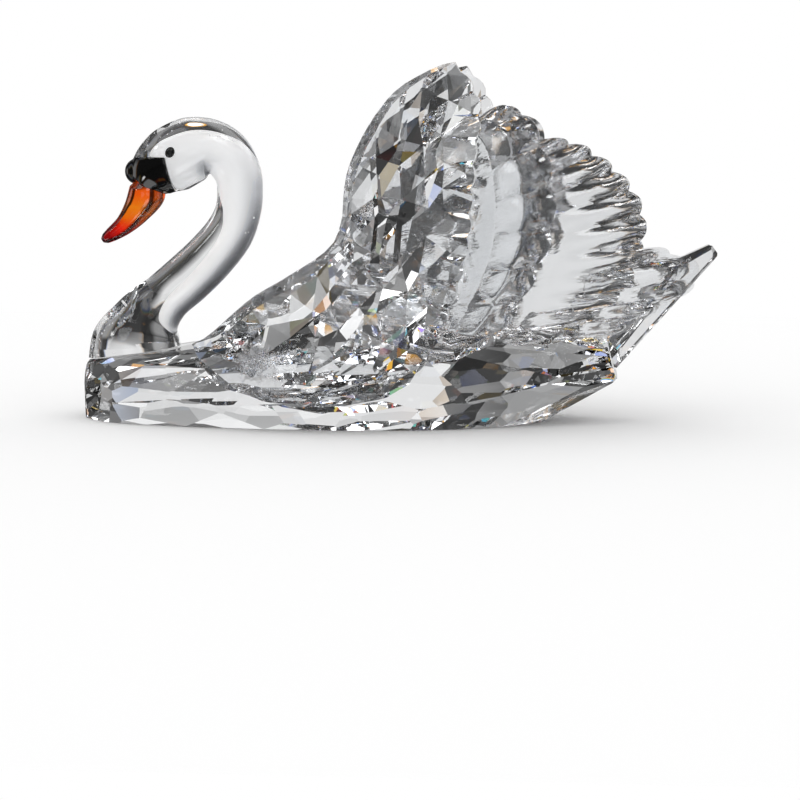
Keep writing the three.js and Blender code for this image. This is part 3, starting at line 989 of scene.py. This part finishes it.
def makePlate(name, plan):
    count = plan["feathers"]
    u = np.linspace(0, 1, count * feathers["pointsPerFeather"] + 1)
    inWing = [[(along(x), onWing(z)) for x, z in plan[line]] for line in ("root", "edge")]
    root, edge = (evenPoints(line, u) for line in inWing)
    feather = edge - root
    feather /= np.linalg.norm(feather, axis=1, keepdims=True)
    arc = 1 - (2 * ((u * count) % 1) - 1) ** 2
    covered = plan["covered"]
    shares = np.concatenate([[0, covered * 0.5], np.linspace(covered, 1, feathers["rows"])])
    front, back, uv = [], [], []
    for v in shares:
        tip = smoothRise(v, feathers["scallopFrom"], 1)
        at = root + (edge - root) * v + feather * (tip * arc * feathers["scallopDepth"] * mm)[:, None]
        slope = max(0.0, (v - covered) / (1 - covered))
        face = plan["front"](at[:, 0], at[:, 1])
        rear = plan["back"](at[:, 0], at[:, 1])
        thinning = plan["fall"] * slope * (rear - face)
        groove = feathers["fluteDepth"] * mm * smoothRise(v, covered, 1) * (1 - arc)
        rounding = plan["tipRounding"] * mm * smoothRise(v, plan["roundFrom"], 1)
        y = face + swan["fit"] / 2 * mm + thinning + groove + rounding
        rearY = rear - swan["fit"] / 2 * mm
        y = np.minimum(y, rearY - feathers["thinnest"] * mm)
        front.append(np.stack([at[:, 0], y, at[:, 1]], axis=1))
        back.append(np.stack([at[:, 0], rearY, at[:, 1]], axis=1))
        uv += [(across * count, v * feathers["barbTurns"]) for across in u]
    rows, width = len(shares), len(u)
    total = rows * width
    faces = []
    for row in range(rows - 1):
        for column in range(width - 1):
            a = row * width + column
            quad = (a, a + 1, a + width + 1, a + width)
            faces += [quad, tuple(reversed([i + total for i in quad]))]
    faces += rimFaces(rows, width)
    piece = meshPiece(name, np.concatenate(front + back), faces)
    layer = piece.data.uv_layers.new(name="feather")
    for loop in piece.data.loops:
        layer.data[loop.index].uv = uv[loop.vertex_index % total]
    for node in ("hull", "tail"):
        combine(piece, grownCopy(node, swan["fit"] * mm), "DIFFERENCE")
    keepLargest(piece)
    shade(piece, feathers["smoothAngle"])
    return piece


for word, plan in wingPlates.items():
    leftPlate = makePlate("left" + word.capitalize(), plan)
    rightPlate = mirroredPiece(leftPlate, "right" + word.capitalize())
    for side, piece in (("left_", leftPlate), ("right_", rightPlate)):
        place(piece, featherCrystal, "cut_crystal", side + word)
    print(word, "ready")

# Coverts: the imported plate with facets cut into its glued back, which show through its front,
# and with notches between the feathers of its trailing edge
coverts = {
    "lean": 23.0,  # degrees
    "cells": (5.6, 6.4),  # mm
    "jitter": 0.24,
    "seed": 5,
    "deep": 0.48,  # shares of the thickness beyond "solid"
    "shallow": 0.05,
    "uneven": (0.7, 1.1),
    "solid": 4.0,
    "least": 0.16,
    "behind": 5.0,
    "trail": [
        (0.107, 0.97),
        (0.126, 0.914),
        (0.134, 0.852),
        (0.128, 0.75),
        (0.123, 0.595),
        (0.115, 0.439),
        (0.08, 0.241),
        (0.045, 0.119),
    ],
    "tips": 13,
    "notchFrom": -2.5,  # mm from the edge, inwards
    "notchReach": 5.5,
    "notchDepth": 0.5,  # share of the thickness
    "notchInside": 1.2,  # mm from the edge, where the thickness is measured
    "notchOver": 6.0,
    "notchOpening": 0.6,
    "frostCentre": (along(-0.175), 13 * mm, onWing(0.05)),
    "frostReach": 15.5,
    "frostGrain": 2200.0,
    "frostDepth": 0.3,
    "frost": 0.4,
}


def solidCopy(node, name):
    piece = grownCopy(node, 0.0)
    piece.name = piece.data.name = name
    return piece


# A view into a solid from its outer side: the thickness between its skin and a glue plane
def thicknessOf(piece, back):
    work = bmesh.new()
    work.from_mesh(piece.data)
    tree = BVHTree.FromBMesh(work)
    work.free()

    def thickness(x, z):
        hit = tree.ray_cast(Vector((x, -swan["length"] * mm, z)), Vector((0, 1, 0)))[0]
        return max(0.0, back(x, z) - hit.y) if hit else 0.0

    return thickness


def backFacets(piece, thickness):
    chance = np.random.default_rng(coverts["seed"])
    corners = np.array([vert.co[:] for vert in piece.data.vertices])[:, (0, 2)]
    lean = math.radians(coverts["lean"])
    axes = np.array([(math.cos(lean), -math.sin(lean)), (math.sin(lean), math.cos(lean))])
    low, high = (corners @ axes.T).min(axis=0), (corners @ axes.T).max(axis=0)
    cell = np.array(coverts["cells"]) * mm
    columns, rows = (np.ceil((high - low) / cell).astype(int) + 3).tolist()
    front, rear = [], []
    for row in range(rows):
        for column in range(columns):
            stagger = 0.5 * (row % 2)
            shake = chance.uniform(-1, 1, 2) * coverts["jitter"]
            x, z = (low + (np.array((column + stagger, row)) - 1 + shake) * cell) @ axes
            spare = max(0.0, thickness(x, z) - coverts["solid"] * mm)
            share = coverts["deep"] if (column + row // 2) % 2 else coverts["shallow"]
            depth = coverts["least"] * mm + spare * share * chance.uniform(*coverts["uneven"])
            y = covertsBack(x, z)
            front.append((x, y - depth, z))
            rear.append((x, y + coverts["behind"] * mm, z))
    total = rows * columns
    faces = []
    for row in range(rows - 1):
        for column in range(columns - 1):
            a = row * columns + column
            b, c, d = a + 1, a + columns + 1, a + columns
            halves = [(a, b, d), (b, c, d)] if row % 2 == 0 else [(a, b, c), (a, c, d)]
            faces += halves + [tuple(i + total for i in reversed(half)) for half in halves]
    faces += rimFaces(rows, columns)
    return meshPiece("backFacets", front + rear, faces)


def trailNotches(thickness):
    line = [(along(x), onWing(z)) for x, z in coverts["trail"]]
    shares = np.arange(1, coverts["tips"]) / coverts["tips"]
    at = evenPoints(line, shares)
    little = 0.004
    way = evenPoints(line, shares + little) - evenPoints(line, shares - little)
    points, faces = [], []
    for (x, z), (dx, dz) in zip(at, way):
        run = Vector((dx, 0, dz)).normalized()
        inward = Vector((-run.z, 0, run.x)) * (1 if run.z < 0 else -1)
        if inward.x > 0:
            inward.negate()
        for step, share in ((coverts["notchFrom"], 1.0), (coverts["notchReach"], 0.0)):
            spot = Vector((x, 0, z)) + inward * step * mm
            near = Vector((x, 0, z)) + inward * max(step, coverts["notchInside"]) * mm
            thick = thickness(near.x, near.z)
            back = covertsBack(spot.x, spot.z)
            depth = thick * coverts["notchDepth"] * share
            tall = depth + coverts["notchOver"] * mm
            spread = run * tall * coverts["notchOpening"]
            apex = spot + Vector((0, back - thick + depth, 0))
            top = apex - Vector((0, tall, 0))
            points += [apex, top - spread, top + spread]
        n = len(points) - 6
        faces += [(n, n + 1, n + 2), (n + 3, n + 5, n + 4)]
        faces += [(n + i, n + i + 3, n + (i + 1) % 3 + 3, n + (i + 1) % 3) for i in range(3)]
    return meshPiece("trailNotches", points, faces)


def makeCoverts():
    piece = solidCopy("left_coverts", "leftCoverts")
    thickness = thicknessOf(piece, covertsBack)
    combine(piece, backFacets(piece, thickness), "DIFFERENCE")
    combine(piece, trailNotches(thickness), "DIFFERENCE")
    keepLargest(piece)
    shade(piece, None)
    return piece


covertsCrystal = makeCrystal("covertsCrystal", coverts)
leftCoverts = place(makeCoverts(), covertsCrystal, "cut_crystal", "left_coverts")
rightCoverts = mirroredPiece(leftCoverts, "rightCoverts")
place(rightCoverts, covertsCrystal, "cut_crystal", "right_coverts")
print("coverts ready")

# The hull and the tail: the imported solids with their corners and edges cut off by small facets
cutGlass = {
    "seed": 3,
    "jitter": 0.45,
    "lowest": 0.6,  # mm over the ground, below which nothing is cut
    "hull": {"corners": 0.75, "edges": 0.0},
    "tail": {"corners": 1.1, "edges": 0.45},
}


def makeCutGlass(node):
    chance = np.random.default_rng(cutGlass["seed"])
    plan = cutGlass[node]
    piece = solidCopy(node, node + "Crystal")
    work = bmesh.new()
    work.from_mesh(piece.data)
    work.normal_update()
    lowest = cutGlass["lowest"] * mm
    cuts = [(v.co.copy(), v.normal.copy(), plan["corners"]) for v in work.verts if v.co.z > lowest]
    if plan["edges"]:
        for edge in work.edges:
            middle = (edge.verts[0].co + edge.verts[1].co) / 2
            normal = (edge.link_faces[0].normal + edge.link_faces[1].normal).normalized()
            cuts.append((middle, normal, plan["edges"]))
    for middle, normal, depth in cuts:
        share = 1 + chance.uniform(-1, 1) * cutGlass["jitter"]
        cutBeyond(work, middle - normal * depth * share * mm, normal)
    bmesh.ops.remove_doubles(work, verts=work.verts[:], dist=1e-6)
    bmesh.ops.recalc_face_normals(work, faces=work.faces[:])
    work.to_mesh(piece.data)
    work.free()
    shade(piece, None)
    return piece


for node in ("hull", "tail"):
    place(makeCutGlass(node), crystal, "cut_crystal", node)
print("hull and tail ready")


def mixShaders(tree, share, first, second):
    return addNode(tree, "ShaderNodeMixShader", Fac=share, i1=first.outputs[0], i2=second.outputs[0])


# Floor, world and light, whose rings are listed as [share of a full turn from the camera, light]
studio = {
    "floor": 0.95,
    "pale": 1.0,  # the backdrop, as the camera sees it
    "soft": 1.05,  # light on everything matt
    "sheen": 0.94,  # how much of the studio the floor gives back into the crystal
    "floorSize": 0.72,  # m
    "floorGap": 0.08,  # mm of air under the hull, so that light passes through its underside
    "dark": 0.05,
    "backdrop": [  # with a dark card at each side of it
        (0.36, 0.05),
        (0.39, 0.34),
        (0.42, 0.34),
        (0.43, 0.04),
        (0.45, 0.04),
        (0.453, (0.42, 0.48, 0.62)),
        (0.456, 0.8),
        (0.544, 0.8),
        (0.547, (0.62, 0.54, 0.46)),
        (0.549, 0.05),
        (0.572, 0.05),
        (0.58, 0.36),
        (0.61, 0.36),
        (0.64, 0.05),
    ],
    "panels": [  # middle, half width, light, colour of the edge away from the backdrop
        (0.042, 0.026, 1.0, None),
        (0.28, 0.03, 1.5, (0.06, 0.2, 0.8)),
        (0.72, 0.03, 1.5, (1.0, 0.4, 0.06)),
        (0.958, 0.026, 1.0, None),
    ],
    "sky": [  # above and below the belt
        (0, 0.2),
        (0.03, 0.2),
        (0.045, 0.04),
        (0.065, 0.04),
        (0.08, 0.3),
        (0.11, 0.3),
        (0.13, 0.03),
        (0.215, 0.03),
        (0.225, (1, 0.4, 0.05)),
        (0.235, 0.9),
        (0.275, 0.9),
        (0.285, 0.04),
        (0.32, 0.04),
        (0.335, 0.22),
        (0.38, 0.22),
        (0.395, 0.05),
        (0.41, 0.05),
        (0.42, 0.25),
        (0.455, 0.25),
        (0.47, 0.03),
        (0.57, 0.03),
        (0.59, 0.3),
        (0.63, 0.3),
        (0.65, 0.03),
        (0.72, 0.03),
        (0.73, (0.08, 0.25, 0.9)),
        (0.74, 0.8),
        (0.79, 0.8),
        (0.8, (1.1, 0.75, 0.08)),
        (0.812, 0.04),
        (0.93, 0.04),
        (1, 0.2),
    ],
    "fringe": 0.01,  # share of a full turn
    # Strength of belt and sky, over how far up or down an arrow of length 1 points
    "beltHeight": [(0, 1.0), (0.18, 1.0), (0.26, 0.4), (0.32, 0.05), (1, 0.05)],
    "skyHeight": [(0.26, 0.05), (0.34, 1.0), (0.74, 1.0), (0.86, 0.05)],
    "lampEdge": 0.5,  # width of a lamp's coloured rim, as a share of its reach
    "lampRings": [
        (-1.0, 0.0),
        (-0.85, (0.8, 0.03, 0.0)),
        (-0.6, (1.2, 0.6, 0.03)),
        (-0.3, (0.15, 0.75, 0.3)),
        (0.0, (0.08, 0.25, 1.2)),
    ],
    "lamps": [  # towards it, cosine of its reach, light
        ((-0.45, -0.35, 0.82), 0.965, 2.5),
        ((0.75, 0.3, 0.6), 0.975, 2.5),
        ((0.25, -0.75, 0.6), 0.985, 3.0),
        ((-0.2, 0.7, 0.68), 0.994, 2.0),
        ((-0.75, -0.45, 0.48), 0.9975, 14.0),
        ((0.42, -0.42, 0.8), 0.995, 14.0),
    ],
}


def makeFloor():
    half = studio["floorSize"] / 2
    z = -studio["floorGap"] * mm
    corners = [(-half, -half, z), (half, -half, z), (half, half, z), (-half, half, z)]
    floor = meshPiece("floor", corners, [(0, 1, 2, 3)])
    material, tree, shader = newMaterial("paleFloor", Base_Color=fourOf(studio["floor"]), Roughness=1.0)
    shader.inputs["Specular IOR Level"].default_value = 0.0
    # The floor is matt to the camera and polished to what the crystal gathers
    polished = addNode(tree, "ShaderNodeBsdfGlossy", Color=fourOf(studio["sheen"]), Roughness=0.0)
    path = addNode(tree, "ShaderNodeLightPath")
    gathered = sums(tree, "MAXIMUM", path.outputs["Is Transmission Ray"], path.outputs["Is Glossy Ray"])
    surface = mixShaders(tree, gathered, shader, polished)
    output = tree.nodes["Material Output"]
    tree.links.new(surface.outputs[0], output.inputs["Surface"])
    floor.data.materials.append(material)


# Bright panels round the swan, whose edges break into colours as light does in crystal
def panelStops():
    dark, fringe = studio["dark"], studio["fringe"]
    stops = list(studio["backdrop"])
    for middle, half, light, edge in studio["panels"]:
        low, high = middle - half, middle + half
        stops += [(low - fringe, dark), (low + fringe, light)]
        stops += [(high - fringe, light), (high + fringe, dark)]
        if edge:
            stops.append((low if middle < 0.5 else high, edge))
    return sorted(stops, key=lambda stop: stop[0])


def mixColours(tree, blend, a, b):
    # Sockets 6 and 7 and output 2 are the ones for colours
    mix = addNode(tree, "ShaderNodeMix", {"data_type": "RGBA", "blend_type": blend}, i0=1.0, i6=a, i7=b)
    return mix.outputs[2]


def makeWorld():
    world = bpy.data.worlds.new("studio")
    scene.world = world
    world.use_nodes = True
    world.cycles.sampling_method = "NONE"  # each kind of ray looks up its own light
    tree = world.node_tree
    tree.nodes.clear()
    arrow = addNode(tree, "ShaderNodeTexCoord").outputs["Generated"]
    way = addNode(tree, "ShaderNodeSeparateXYZ", Vector=arrow)
    x, y, z = (way.outputs[axis] for axis in "XYZ")
    turn = sums(tree, "DIVIDE", sums(tree, "ARCTAN2", x, sums(tree, "MULTIPLY", y, -1.0)), 2 * math.pi)
    around = sums(tree, "WRAP", turn, 1.0, 0.0)
    ring = ramp(tree, around, panelStops())
    steep = sums(tree, "ABSOLUTE", z)
    belt = mixColours(tree, "MULTIPLY", ring, ramp(tree, steep, studio["beltHeight"]))
    sky = ramp(tree, around, studio["sky"])
    sky = mixColours(tree, "MULTIPLY", sky, ramp(tree, steep, studio["skyHeight"]))
    glow = mixColours(tree, "LIGHTEN", belt, sky)
    for direction, reach, bright in studio["lamps"]:
        unit = Vector(direction).normalized()
        facing = addNode(tree, "ShaderNodeVectorMath", {"operation": "DOT_PRODUCT"}, i0=arrow, i1=unit)
        edge = (1 - reach) * studio["lampEdge"]
        rings = [(reach + share * edge, colour) for share, colour in studio["lampRings"]]
        lamp = ramp(tree, facing.outputs["Value"], [*rings, (reach + edge / 3, bright)])
        glow = mixColours(tree, "LIGHTEN", glow, lamp)
    seen = addNode(tree, "ShaderNodeBackground", Color=fourOf(studio["pale"]))
    soft = addNode(tree, "ShaderNodeBackground", Color=fourOf(studio["soft"]))
    lit = addNode(tree, "ShaderNodeBackground", Color=glow)
    path = addNode(tree, "ShaderNodeLightPath")
    unseen = mixShaders(tree, path.outputs["Is Diffuse Ray"], lit, soft)
    chosen = mixShaders(tree, path.outputs["Is Camera Ray"], unseen, seen)
    output = addNode(tree, "ShaderNodeOutputWorld")
    tree.links.new(chosen.outputs[0], output.inputs["Surface"])


rays = {"through": 16, "mirrored": 12, "matt": 3, "brightest": 4}


def setRays():
    cycles = scene.cycles
    cycles.max_bounces = rays["through"]
    cycles.transmission_bounces = rays["through"]
    cycles.glossy_bounces = rays["mirrored"]
    cycles.diffuse_bounces = rays["matt"]
    cycles.sample_clamp_indirect = rays["brightest"]
    cycles.use_denoising = True
    scene.view_settings.view_transform = "Standard"


makeFloor()
makeWorld()
setRays()
print("studio ready")
